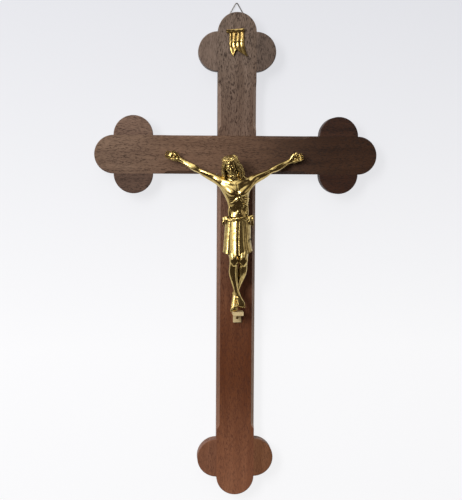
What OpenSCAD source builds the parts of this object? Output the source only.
// Wall crucifix: a wooden cross with trefoil ends, a cast brass figure and a wire hanger.
// The front faces -Y and +Z is up. The origin is where the wall nail bears on the hanger ring.

/* [Cross boards] */
// Width of the upright and of the crossbar
board_w = 44; // [36:1:52]
// Thickness of the boards
board_t = 15; // [12:0.5:20]
// From the middle of the crossing up to where the top's round end begins
top_len = 140; // [130:1:180]
// From the middle of the crossing down to where the foot's round end begins
foot_len = 378; // [330:1:450]
// From the middle of the crossing out to where the crossbar's round ends begin
arm_len = 141; // [132:1:180]
// Radius of the half-round blocks glued to the boards' sides
lobe_r = 22.5; // [18:0.5:26]
// Rounding of the edges of all round ends
edge_r = 0.8; // [0.3:0.1:1.5]
// Width of the chamfer along the front edges
chamfer_w = 3.5; // [2:0.5:5]
// Plain edge left between a chamfer and the lobe next to it
lobe_stop = 9; // [5:0.5:12]
// Plain edge left between a chamfer and the crossing
cross_stop = 3; // [2:0.5:6]

/* [Brass figure] */
// Height of the figure from the crown of its head to its lowest toes
figure_h = 180; // [165:1:190]
// Thickness of the footrest's ledge
ledge_t = 4; // [3:0.5:6]
// Width of the footrest's ledge
ledge_w = 12; // [9:0.5:16]
// How far the ledge stands out from the upright
ledge_reach = 18; // [16:0.5:24]
// Width of the footrest's nailing tab
tab_w = 9.4; // [7:0.2:12]
// Thickness of the footrest's nailing tab
tab_t = 2; // [1.5:0.1:3]
// Height of the nailing tab below the ledge
tab_h = 10; // [8:0.5:14]

/* [Name scroll] */
// Width of the scroll's hanging sheet
scroll_w = 17; // [14:0.5:21]
// Height of the scroll from the top of its roll to the tips of its tails
scroll_h = 32.5; // [28:0.5:38]
// From where the top's round end begins up to the top of the scroll's roll
scroll_rise = 4; // [0:0.5:8]
// Mean thickness of the scroll's sheet
scroll_t = 2; // [1.6:0.1:2.6]

/* [Hanger] */
// Diameter of the ring's wire
wire_d = 1.4; // [1:0.1:2]
// Side of the triangle that the wire's centreline follows
ring_side = 22.5; // [19:0.5:28]
// Radius of the wire's bends, at its centreline
bend_r = 1.5; // [1.2:0.1:2.2]
// How far the hinged side of the ring lies below the top of the upright
ring_drop = 6; // [5:0.5:8]
// Width of the folded strap that holds the ring
strap_w = 9; // [7:0.5:11]
// Thickness of the strap's sheet
sheet_t = 0.7; // [0.5:0.1:1]
// Length of the strap below the ring's hinged side
strap_len = 15; // [13:0.5:20]
// Running clearance between the wire and the strap
wire_gap = 0.05; // [0.02:0.01:0.1]

/* [Nails] */
// Diameter of the nails' shanks
nail_d = 1.6; // [1.2:0.1:2]
// Diameter of the nails' heads
nail_head_d = 3.2; // [2.6:0.1:4]
// Height of the nails' heads
nail_head_h = 0.9; // [0.6:0.1:1.4]
// How deep the nails go into the wood
nail_bite = 6.5; // [5:0.5:7]
// Clearance round a shank in its hole
nail_gap = 0.05; // [0.02:0.01:0.1]

/* [Hidden] */
$fn = 64;
cut = 1;
half_w = board_w / 2;
lap_t = board_t / 2;
pilot_r = chamfer_w * 2;
board_top = top_len + half_w;
wire_r = wire_d / 2;
barrel_r = wire_r + wire_gap + sheet_t;
ring_h = ring_side * sin(60);
ring_apex = ring_h - bend_r - wire_r;
hinge_y = board_t + barrel_r;
hinge_z = board_top - ring_drop;
cross_y = -hinge_y;
cross_z = -hinge_z - ring_apex;
strap_nail_z = [-strap_len * 0.4, -strap_len * 0.76];

// The modules below draw from the middle of the crossing, on the boards' front face,
// with the boards lying behind it in +Y. This moves them to the part's own origin.
module at_cross() {
    translate([0, cross_y, cross_z]) children();
}

// Places on the face of the wood, as [x, z], and how far a nail head's seat stands off it.
// Those on the figure and its footrest are in hundredths of the figure's height.
left_palm_shares = [-40.2, -1.3];
right_palm_shares = [37.2, -2.5];
palm_seat_share = 3.6;
instep_shares = [-0.6, -90.4];
instep_seat_share = 10.2;
footrest_share = 0.7;
figure_pct = figure_h / 100;
left_palm = left_palm_shares * figure_pct;
right_palm = right_palm_shares * figure_pct;
palm_seat = palm_seat_share * figure_pct;
instep = instep_shares * figure_pct;
instep_seat = instep_seat_share * figure_pct;
footrest_x = footrest_share * figure_pct;
ledge_z = -figure_h;
tab_nail = [footrest_x, ledge_z - ledge_t - tab_h * 0.45];
scroll_x = -scroll_w * 0.055;
scroll_top = top_len + scroll_rise;
scroll_nail = [scroll_x - scroll_w * 0.045, scroll_top - scroll_h * 0.207];
scroll_seat = scroll_t * 1.1;

// Hole in the wood for a nail that goes in along +Y
module nail_hole(place) {
    translate([place[0], -cut, place[1]]) rotate([-90, 0, 0])
        cylinder(h = cut + nail_bite + nail_gap, d = nail_d + 2 * nail_gap);
}

// Clear hole for a nail right through a piece on the face of the wood, with a flat for its head
module nail_way(place, seat) {
    translate([place[0], cut, place[1]]) rotate([90, 0, 0])
        cylinder(h = cut + seat + cut, d = nail_d + 2 * nail_gap, $fn = 24);
    translate([place[0], -seat, place[1]]) rotate([90, 0, 0])
        cylinder(h = seat, d = nail_head_d + 4 * nail_gap, $fn = 24);
}

// Round-headed nail driven in along +Y
module nail(place, seat) {
    dome_r = nail_head_d * 0.6;
    translate([place[0], -seat, place[1]]) rotate([-90, 0, 0]) {
        cylinder(h = seat + nail_bite, d = nail_d);
        mirror([0, 0, 1]) rotate_extrude() intersection() {
            square([nail_head_d / 2, nail_head_h]);
            translate([0, nail_head_h - dome_r]) circle(r = dome_r);
        }
    }
}

// Wood

// Half section of a round end, with its outer edges rounded
module end_section(r) {
    translate([0, -board_t / 2]) square([r - edge_r, board_t]);
    translate([0, -board_t / 2 + edge_r]) square([r, board_t - 2 * edge_r]);
    for (side = [-1, 1])
        translate([r - edge_r, side * (board_t / 2 - edge_r)]) circle(r = edge_r, $fn = 32);
}

// Half disc of radius r that stands on the plane z = 0 and rises in +Z
module half_disc(r) {
    translate([0, board_t / 2, 0]) rotate([90, 0, 0])
        rotate_extrude(angle = 180, $fn = 96) end_section(r);
}

// Board from z = -low to z = high, with a half-round beyond each end.
// A core inside the wood runs across from the straight part into each half-round.
module board(low, high) {
    translate([-half_w, 0, -low]) cube([board_w, board_t, low + high]);
    translate([0, 0, high]) half_disc(half_w);
    translate([0, 0, -low]) rotate([0, 180, 0]) half_disc(half_w);
    for (z = [-low, high])
        translate([-half_w / 2, lap_t / 2, z - half_w / 2]) cube([half_w, lap_t, half_w]);
}

// What a chamfer bit takes from the right front edge between two heights.
// Its pilot runs on the board's side, so each end of the cut is part of a cone.
module chamfer_cut(low, high) {
    axis_x = half_w + pilot_r;
    outer_r = pilot_r + chamfer_w;
    for (z = [low + outer_r, high - outer_r])
        translate([axis_x, 0, z]) rotate([-90, 0, 0]) cylinder(h = chamfer_w, r1 = outer_r, r2 = pilot_r);
    translate([0, 0, low + outer_r]) linear_extrude(high - low - 2 * outer_r)
        polygon([[half_w - chamfer_w, 0], [axis_x, 0], [axis_x, chamfer_w], [half_w, chamfer_w]]);
}

// The four chamfers of a board: both edges, on either side of the crossing
module board_chamfers(low, high) {
    near = half_w + cross_stop;
    lobes = 2 * lobe_r + lobe_stop;
    for (side = [0, 1]) mirror([side, 0, 0]) {
        chamfer_cut(near, high - lobes);
        chamfer_cut(lobes - low, -near);
    }
}

module upright() {
    color("#5f4030") at_cross() difference() {
        board(foot_len, top_len);
        board_chamfers(foot_len, top_len);
        translate([-half_w - cut, -cut, -half_w]) cube([board_w + 2 * cut, lap_t + cut, board_w]);
        for (place = [scroll_nail, instep, tab_nail]) nail_hole(place);
        for (z = strap_nail_z) translate([0, board_t, hinge_z + z]) rotate([0, 0, 180]) nail_hole([0, 0]);
    }
}

module crossbar() {
    color("#6b4a38") at_cross() difference() {
        rotate([0, 90, 0]) board(arm_len, arm_len);
        rotate([0, 90, 0]) board_chamfers(arm_len, arm_len);
        translate([-half_w, lap_t, -half_w - cut]) cube([board_w, board_t, board_w + 2 * cut]);
        for (place = [left_palm, right_palm]) nail_hole(place);
    }
}

// Half-round block on one side of a board's end: turn is the way that the end points, from up,
// and side is -1 or 1 for the block on its left or right
module lobe(turn, length, side) {
    color("#66493a") at_cross() rotate([0, turn, 0])
        translate([side * half_w, 0, length - lobe_r]) rotate([0, side * 90, 0]) half_disc(lobe_r);
}

// Cast figure. All its tables are in hundredths of the figure's height, as
// [x, how far in front of the wood, z, half width, half depth] at stations along a limb.

left_arm_shares = [
    [-5.51, 8.86, -21, 4.24, 3.61], [-11.33, 8.25, -17, 3.1, 3.12], [-15.57, 7.29, -14.51, 2.29, 2.49],
    [-19.98, 6.36, -12.23, 2.08, 2.22], [-24.23, 5.52, -10.11, 1.78, 1.91], [-27.52, 5, -8.31, 2.09, 2.07],
    [-31.74, 4.11, -5.91, 1.81, 1.69], [-36.07, 3.22, -3.24, 1.37, 1.23]];
right_arm_shares = [
    [2.88, 8.91, -21.04, 4.18, 3.58], [8.59, 8.21, -17.02, 3.11, 3.11], [12.42, 7.25, -14.69, 2.38, 2.5],
    [17.23, 6.42, -12.2, 2.09, 2.18], [21.54, 5.55, -9.92, 1.77, 1.87], [24.99, 5, -8.42, 2.1, 2.08],
    [29.4, 4.03, -6.18, 1.86, 1.69], [33.29, 3.22, -3.89, 1.38, 1.22]];
torso_shares = [
    [-2.97, 9.37, -15.2, 4.58, 2.8], [-2, 9.23, -17.2, 7.99, 3.97], [-1.39, 9.28, -20.3, 9.3, 5.13],
    [-0.8, 9.6, -23.87, 8.23, 5.61], [-0.3, 9.38, -27.77, 7.2, 5.3], [0.13, 8.9, -31.71, 6.4, 4.78],
    [0.22, 8.4, -35.6, 6, 4.31], [0.28, 8.4, -39.4, 6.49, 4.6], [0.21, 8.37, -44, 7.4, 5.08]];
neck_shares = [[-2.4, 8.6, -17.5, 3.6, 3.2], [-3.2, 10, -14, 3, 3], [-4, 11.6, -9.5, 3, 3.2]];
left_leg_shares = [
    [-3.5, 9.5, -50, 4.2, 4.4], [-3.1, 12, -60, 3.8, 4], [-2.5, 14.2, -65.6, 3.1, 3.2],
    [-2.8, 12.8, -70, 2.8, 2.8], [-2.8, 11, -74, 2.8, 2.9], [-2, 9.7, -79.4, 2.3, 2.4],
    [-0.9, 8.9, -84.6, 1.8, 1.9], [0, 8.7, -88.6, 1.6, 1.9]];
right_leg_shares = [
    [3.7, 9.5, -50, 4.23, 4.43], [3.6, 11.99, -60.03, 3.71, 4.03], [3.1, 13.9, -65.89, 2.9, 3.08],
    [3.11, 12.23, -70.01, 2.82, 2.8], [2.68, 10.1, -74.03, 2.78, 2.91], [1.71, 7.4, -79.42, 2.2, 2.33],
    [0.2, 5.51, -84.62, 1.83, 1.82], [-0.99, 4.7, -88.62, 1.69, 1.87]];
left_foot_shares = [
    [0, 8.1, -87.2, 1.4, 1.8], [0.6, 8.8, -89.8, 1.8, 2.1], [1.8, 9.8, -92.6, 2.1, 1.7],
    [2.9, 10.3, -95, 2.3, 1.3], [3.5, 10.3, -96.4, 1.9, 1]];
right_foot_shares = [
    [-0.8, 4.1, -87.97, 1.4, 1.81], [-1.33, 4.7, -91.03, 1.83, 2.1], [-1.8, 5.83, -94.5, 2, 1.7],
    [-2.28, 6.9, -97.6, 2.11, 1.27], [-2.48, 7.41, -98.98, 1.77, 0.97]];
cloth_shares = [
    [0.3, 8.4, -38.9, 6.7, 4.9], [0.2, 8.4, -41.5, 8.3, 5.9], [0, 8.4, -47.8, 8.6, 6.3],
    [-0.2, 8.7, -53.9, 8.8, 6.7], [-0.1, 9, -58.3, 9.1, 7], [0, 9.2, -61.9, 9.5, 7.2]];

// Head, in its own upright frame: z up from its middle, the second number towards the face
head_shares = [
    [0, -0.4, 7.4, 1, 1.1], [0, -0.5, 6.9, 3, 3.4], [0, -0.5, 5.3, 4.5, 5.1], [0, -0.3, 3, 5, 5.6],
    [0, 0, 0.8, 4.8, 5.2], [0, 0.2, -1.6, 4.5, 4.8], [0, 0.8, -4, 3.9, 4.1], [0, 1.5, -6.2, 2.8, 3],
    [0, 1.9, -7.9, 1.4, 1.6]];
nose_shares = [[0, 4.7, 1.6, 0.5, 0.6], [0, 5.5, -0.3, 0.7, 0.8], [0, 5.4, -1.3, 0.9, 0.7]];
hair_shares = [
    [0, -2.2, 6.2, 3, 2.6], [0, -2.4, 3, 5.1, 3.8], [0, -2.4, -2, 5.5, 3.6], [0, -2.2, -6, 5.2, 2.8],
    [0, -2, -9.5, 3.8, 1.6]];
lock_shares = [
    [4.2, 2.4, 4.2, 0.9, 0.9], [5.4, 1.9, 1.2, 1.2, 1.1], [5.3, 2.2, -2.2, 1.1, 1],
    [5.8, 1.5, -5.6, 1.1, 1], [5.2, 1.6, -8.8, 0.6, 0.6]];
// Half width and half depth of the crown, radius of its strands, its height and their winding
crown_shares = [4.8, 5, 0.6, 5.9];
crown_wind_share = 0.85;
crown_winds = 6;
head_place_shares = [-4.5, -12.7, -7.9];
head_tilt = [16, -7, -9];

// Hand, from its wrist: how far out along it, up, forward, half height, half depth
palm_shares = [
    [-0.49, 0.05, 0, 1.08, 0.92], [1.42, 0, -0.12, 1.67, 1.21], [3.3, 0.19, -0.23, 2.41, 1.16],
    [5.3, 0.17, -0.13, 2.6, 1.12], [6.26, 0.21, 0, 2.23, 0.89]];
finger_shares = [
    [5.43, 1.06, -0.1, 0.64, 0.58], [7.44, 1.05, 0.42, 0.6, 0.58], [8.98, 1, 1.25, 0.59, 0.46],
    [9.74, 0.89, 2.28, 0.36, 0.42]];
finger_height_shares = [2, 0.75, -0.48, -1.7];
thumb_shares = [
    [1.41, 1.1, 0.31, 0.82, 0.8], [3.2, 2.7, 0.83, 0.77, 0.71], [4.8, 3.31, 1.4, 0.65, 0.59],
    [6.02, 3.21, 1.9, 0.37, 0.38]];
hand_rise = 20;
toe_shares = [-0.75, -0.35, 0.05, 0.42, 0.78];
toe_r_share = 0.5;

// Loincloth: folds round the skirt, how deep they are at the hem and how thin the hem is
folds = 13;
fold_share = 0.05;
hem_share = 0.86;
band_shares = [8.09, 5.69, 0.9, 1.7];
band_place_shares = [0, 8.4, -40.6];
knot_shares = [
    [[-7.6, 10, -39.6, 1, 1.2], [-8.3, 10.8, -40.8, 1.7, 1.9], [-8.1, 11, -42.6, 1.3, 1.4]],
    [[6.8, 11, -38.6, 1.1, 1.3], [8.2, 11.2, -39.6, 1.9, 1.9], [7.6, 12, -41.6, 1.7, 1.7], [8.6, 11, -44, 0.9, 1]]];

towards_front = [0, -1, 0];

function unit(v) = v / norm(v);
function spot(row) = [row[0], -row[1], row[2]] * figure_pct;

// A row between rows k and k + 1 of a table, on a smooth curve through all its rows
function between(rows, k, f) =
    let (before = rows[max(k - 1, 0)], here = rows[k], next = rows[k + 1],
        after = rows[min(k + 2, len(rows) - 1)])
    (2 * here + (next - before) * f + (2 * before - 5 * here + 4 * next - after) * f * f
        + (3 * here - before - 3 * next + after) * f * f * f) / 2;

function smooth(rows, steps) =
    [for (k = [0 : len(rows) - 2]) for (s = [0 : steps - 1]) between(rows, k, s / steps), rows[len(rows) - 1]];

// Oval of points round station k, square to the limb's run
function oval(rows, k, sides) =
    let (run = unit(spot(rows[min(k + 1, len(rows) - 1)]) - spot(rows[max(k - 1, 0)])),
        across = unit(cross(run, towards_front)), out = cross(across, run))
    [for (i = [0 : sides - 1])
        spot(rows[k]) + figure_pct * (rows[k][3] * cos(360 * i / sides) * across
            + rows[k][4] * sin(360 * i / sides) * out)];

function middle(ring) = [for (axis = [0 : 2]) ring[0][axis] + ring[len(ring) / 2][axis]] / 2;

// Closed skin over rings that each have the same even number of points
module skin(rings) {
    n = len(rings[0]);
    m = len(rings);
    sides = [for (j = [0 : m - 2]) for (i = [0 : n - 1])
        let (a = j * n + i, b = j * n + (i + 1) % n) each [[a, b, b + n], [a, b + n, a + n]]];
    caps = [for (i = [0 : n - 1]) let (b = (i + 1) % n)
        each [[m * n, b, i], [m * n + 1, (m - 1) * n + i, (m - 1) * n + b]]];
    polyhedron(concat([for (ring = rings) each ring], [middle(rings[0]), middle(rings[m - 1])]),
        concat(sides, caps));
}

module limb(rows, sides, steps) {
    stations = smooth(rows, steps);
    skin([for (k = [0 : len(stations) - 1]) oval(stations, k, sides)]);
}

// Limb of a hand, whose heights are spread by a factor
module hand_limb(rows, spread, sides) {
    limb([for (row = rows) [row[0], row[2], row[1] * spread, row[3], row[4]]], sides, 2);
}

// Hand with curled fingers, from the wrist out to one side: -1 for the left, 1 for the right
module hand(wrist, side) {
    translate(spot(wrist)) rotate([0, -side * hand_rise, 0]) mirror([side < 0 ? 1 : 0, 0, 0]) {
        hand_limb(palm_shares, 1, 12);
        for (height = finger_height_shares) hand_limb(finger_shares, height, 6);
        hand_limb(thumb_shares, 1, 6);
    }
}

// Foot that ends a leg, with five toes fanned over its last station
module foot(rows) {
    limb(rows, 12, 2);
    ball = rows[len(rows) - 2];
    tip = rows[len(rows) - 1];
    for (toe = toe_shares) hull() {
        translate(spot([ball[0] + toe * ball[3], ball[1], ball[2]]))
            sphere(r = toe_r_share * figure_pct, $fn = 8);
        translate(spot([tip[0] + toe * tip[3], tip[1], tip[2] - toe_r_share]))
            sphere(r = toe_r_share * figure_pct, $fn = 8);
    }
}

// Closed skin over rings that run round to the first again
module loop_skin(rings) {
    n = len(rings[0]);
    m = len(rings);
    polyhedron([for (ring = rings) each ring],
        [for (j = [0 : m - 1]) for (i = [0 : n - 1])
            let (a = j * n + i, b = j * n + (i + 1) % n, up = (j + 1) % m * n, c = up + i, d = up + (i + 1) % n)
            each [[a, b, d], [a, d, c]]]);
}

// One of the crown's two strands, which wind round each other round the head
module crown_strand(phase) {
    stations = 36;
    sides = 5;
    strand_r = crown_shares[2];
    loop_skin([for (k = [0 : stations - 1])
        let (a = 360 * (k + phase / 360) / stations, w = crown_winds * a + phase)
        [for (i = [0 : sides - 1])
            let (b = 360 * i / sides, out = strand_r * (crown_wind_share * cos(w) + cos(b)))
            figure_pct * [(crown_shares[0] + out) * cos(a), (crown_shares[1] + out) * sin(a),
                crown_shares[3] + strand_r * (crown_wind_share * sin(w) + sin(b))]]]);
}

// Head with long hair, a full beard and a plaited crown, bent forward and to one side
module head() {
    translate(head_place_shares * figure_pct) rotate(head_tilt) {
        limb(head_shares, 16, 2);
        limb(nose_shares, 6, 2);
        limb(hair_shares, 12, 2);
        for (side = [0, 1]) mirror([side, 0, 0]) limb(lock_shares, 8, 2);
        for (phase = [0, 180]) crown_strand(phase);
    }
}

// Level ring of the skirt, drawn in by a factor and folded by another
function pleated(row, factor, fold) =
    [for (i = [0 : 4 * folds - 1]) let (a = 360 * i / (4 * folds), out = factor * (1 + fold * cos(folds * a)))
        spot(row) + figure_pct * out * [-row[3] * cos(a), -row[4] * sin(a), 0]];

// Skirt of the loincloth: its folds deepen towards the hem, which is hollow underneath
module skirt() {
    stations = smooth(cloth_shares, 2);
    last = len(stations) - 1;
    skin(concat(
        [for (k = [0 : last]) pleated(stations[k], 1, fold_share * k / last)],
        [pleated(stations[last], hem_share, fold_share), pleated(stations[last - 2], hem_share, 0)]));
}

// Rolled band of cloth round the hips, knotted on either side
module band() {
    stations = 36;
    translate(spot(band_place_shares)) loop_skin([for (k = [0 : stations - 1]) let (a = 360 * k / stations)
        [for (i = [0 : 7]) let (b = 360 * i / 8, out = band_shares[2] * cos(b))
            figure_pct * [(band_shares[0] + out) * cos(a), (band_shares[1] + out) * sin(a),
                band_shares[3] * sin(b)]]]);
    for (knot = knot_shares) limb(knot, 8, 2);
}

module figure() {
    color("#b8923c") at_cross() difference() {
        union() {
            limb(torso_shares, 20, 2);
            limb(neck_shares, 10, 1);
            limb(left_arm_shares, 12, 2);
            limb(right_arm_shares, 12, 2);
            hand(left_arm_shares[len(left_arm_shares) - 1], -1);
            hand(right_arm_shares[len(right_arm_shares) - 1], 1);
            limb(left_leg_shares, 12, 2);
            limb(right_leg_shares, 12, 2);
            foot(left_foot_shares);
            foot(right_foot_shares);
            skirt();
            band();
            head();
        }
        translate([-figure_h, 0, -2 * figure_h]) cube([2 * figure_h, board_t, 3 * figure_h]);
        translate([-figure_h, -figure_h, ledge_z - ledge_t]) cube([2 * figure_h, 2 * figure_h, ledge_t]);
        nail_way(left_palm, palm_seat);
        nail_way(right_palm, palm_seat);
        nail_way(instep, instep_seat);
    }
}

// Footrest: a ledge under the toes, with a tab that is nailed to the upright below it
module footrest() {
    color("#c9a86a") at_cross() difference() {
        union() {
            translate([footrest_x - ledge_w / 2, -ledge_reach, ledge_z - ledge_t])
                cube([ledge_w, ledge_reach, ledge_t]);
            translate([footrest_x - tab_w / 2, -tab_t, ledge_z - ledge_t - tab_h])
                cube([tab_w, tab_t, tab_h + ledge_t / 2]);
        }
        nail_way(tab_nail, tab_t);
    }
}

// Name scroll. Down the sheet, t runs from 0 at the roll to 1 at the tips of its tails,
// and across it, s runs from 0 at the left edge to 1 at the right.
notch_s = 0.42;
notch_t = 0.73;
sheet_columns = 28;
sheet_rows = 10;
sheet_folds = 3.7;
fold_depth_share = 0.4;
edge_thin_share = 0.35;
fold_phase_share = 0.28;
roll_tilt = 6;
roll_share = 1.05;
roll_reach_share = 0.2;
roll_lap_share = 0.4;
coil_outer_share = 0.68;
coil_inner_share = 0.36;
left_tail_share = 0.265;
right_tail_share = 0.25;
roll_r = scroll_t * roll_share;

function sheet_end(s) = s < notch_s ? 1 - (1 - notch_t) * s / notch_s
    : notch_t + (1 - notch_t) * pow((s - notch_s) / (1 - notch_s), 0.8);
function tail_swing(t) = pow(max(0, t - 0.5) * 2, 2);

// Height of the roll's axis, which falls away to the left
function roll_z(x) = scroll_top - roll_r - (scroll_x + scroll_w / 2 - x) * tan(roll_tilt);

// Point of the sheet's front, or of its flat back where depth is 0
function sheet_point(s, row, depth) =
    let (t = sheet_end(s) * row / sheet_rows, left = left_tail_share * tail_swing(t),
        right = 1 + right_tail_share * tail_swing(t),
        edge = pow(abs(2 * s - 1), 8), fold = cos(360 * (sheet_folds * s - fold_phase_share)),
        x = scroll_x + scroll_w * (left + s * (right - left) - 0.5))
    [x, -depth * scroll_t * (1 + fold_depth_share * fold - edge_thin_share * edge),
        (roll_z(x) + roll_r * roll_lap_share) * (1 - t) + (scroll_top - scroll_h) * t];

function sheet_side(depth) =
    [for (i = [0 : sheet_columns]) [for (j = [0 : sheet_rows]) sheet_point(i / sheet_columns, j, depth)]];

// Closed slab between two grids of points, front and back, of the same size
module slab(front, back) {
    m = len(front);
    n = len(front[0]);
    all = m * n;
    rim = concat([for (i = [0 : m - 1]) i * n], [for (j = [1 : n - 1]) (m - 1) * n + j],
        [for (i = [m - 2 : -1 : 0]) i * n + n - 1], [for (j = [n - 2 : -1 : 1]) j]);
    quads = [for (i = [0 : m - 2]) for (j = [0 : n - 2]) let (a = i * n + j) [a, a + n, a + n + 1, a + 1]];
    polyhedron(concat([for (line = front) each line], [for (line = back) each line]), concat(
        [for (q = quads) each [[q[0], q[1], q[2]], [q[0], q[2], q[3]]]],
        [for (q = quads) each [[q[2] + all, q[1] + all, q[0] + all], [q[3] + all, q[2] + all, q[0] + all]]],
        [for (k = [0 : len(rim) - 1]) let (a = rim[k], b = rim[(k + 1) % len(rim)])
            each [[b, a, a + all], [b, a + all, b + all]]]));
}

module name_scroll() {
    roll_reach = scroll_w * roll_reach_share;
    roll_start = scroll_x - scroll_w / 2 - roll_reach;
    color("#c9a040") at_cross() difference() {
        union() {
            slab(sheet_side(1), sheet_side(0));
            translate([roll_start, -roll_r, roll_z(roll_start)]) rotate([0, 90 - roll_tilt, 0])
                difference() {
                    cylinder(h = scroll_w + roll_reach, r = roll_r);
                    translate([0, 0, -cut]) difference() {
                        cylinder(h = 2 * cut, r = roll_r * coil_outer_share);
                        cylinder(h = 2 * cut, r = roll_r * coil_inner_share);
                    }
                }
        }
        nail_way(scroll_nail, scroll_seat);
    }
}

// Nails

module left_hand_nail() {
    color("#a08a50") at_cross() nail(left_palm, palm_seat);
}

module right_hand_nail() {
    color("#a08a50") at_cross() nail(right_palm, palm_seat);
}

module foot_nail() {
    color("#a08a50") at_cross() nail(instep, instep_seat);
}

module footrest_nail() {
    color("#6a5a3a") at_cross() nail(tab_nail, tab_t);
}

module scroll_nail_piece() {
    color("#6a5a3a") at_cross() nail(scroll_nail, scroll_seat);
}

// Hanger, drawn from the middle of the ring's hinged side, with the wood's back at y = -barrel_r

// Folded strap: a barrel round the wire, closing to two leaves that lie flat on the wood
module hanger_strap() {
    neck = barrel_r * 2.2;
    leaves = 2 * sheet_t - barrel_r;
    color("#b9a25c") difference() {
        translate([-strap_w / 2, 0, -ring_apex]) rotate([90, 0, 90]) {
            linear_extrude(strap_w) circle(r = barrel_r);
            linear_extrude(strap_w)
                polygon([[-barrel_r, 0], [0, 0], [barrel_r * 0.8, -barrel_r * 0.6], [leaves, -neck],
                    [leaves, -strap_len], [-barrel_r, -strap_len]]);
        }
        translate([0, 0, -ring_apex]) rotate([0, 90, 0])
            cylinder(h = 2 * strap_w, r = wire_r + wire_gap, center = true);
        for (z = strap_nail_z) translate([0, 0, z - ring_apex]) rotate([90, 0, 0])
            cylinder(h = 4 * barrel_r, d = nail_d + 2 * nail_gap, center = true);
    }
}

// Nail driven from behind through the strap, in +Y's opposite sense
module strap_nail(z) {
    color("#8d7f55") translate([0, -barrel_r, z - ring_apex]) rotate([0, 0, 180]) nail([0, 0], 2 * sheet_t);
}

// Wire ring: three straight sides and three bends of an equal-sided triangle.
// A core inside the wire runs across from each side into its bends.
module hanger_ring() {
    inset = bend_r / tan(30);
    centre_z = ring_side / 2 * tan(30);
    run = ring_side - 2 * inset;
    color("#6e6a66") translate([0, 0, -ring_apex + centre_z])
        for (turn = [0, 120, 240]) rotate([0, turn, 0]) {
            translate([-run / 2, 0, -centre_z]) rotate([0, 90, 0]) cylinder(h = run, d = wire_d, $fn = 32);
            for (x = [-run / 2, run / 2]) translate([x, 0, -centre_z]) rotate([0, 90, 0])
                cylinder(h = wire_d, d = wire_r, center = true, $fn = 32);
            translate([run / 2, 0, bend_r - centre_z]) rotate([90, 90, 0])
                rotate_extrude(angle = 120) translate([bend_r, 0]) circle(d = wire_d, $fn = 32);
        }
}

upright();
crossbar();
lobe(0, top_len, -1);  // top_left_lobe
lobe(0, top_len, 1);  // top_right_lobe
lobe(180, foot_len, 1);  // foot_left_lobe
lobe(180, foot_len, -1);  // foot_right_lobe
lobe(-90, arm_len, 1);  // left_upper_lobe
lobe(-90, arm_len, -1);  // left_lower_lobe
lobe(90, arm_len, -1);  // right_upper_lobe
lobe(90, arm_len, 1);  // right_lower_lobe
figure();
footrest();
name_scroll();
left_hand_nail();
right_hand_nail();
foot_nail();
footrest_nail();
scroll_nail_piece();  // scroll_nail
hanger_strap();
strap_nail(strap_nail_z[0]);  // upper_strap_nail
strap_nail(strap_nail_z[1]);  // lower_strap_nail
hanger_ring();
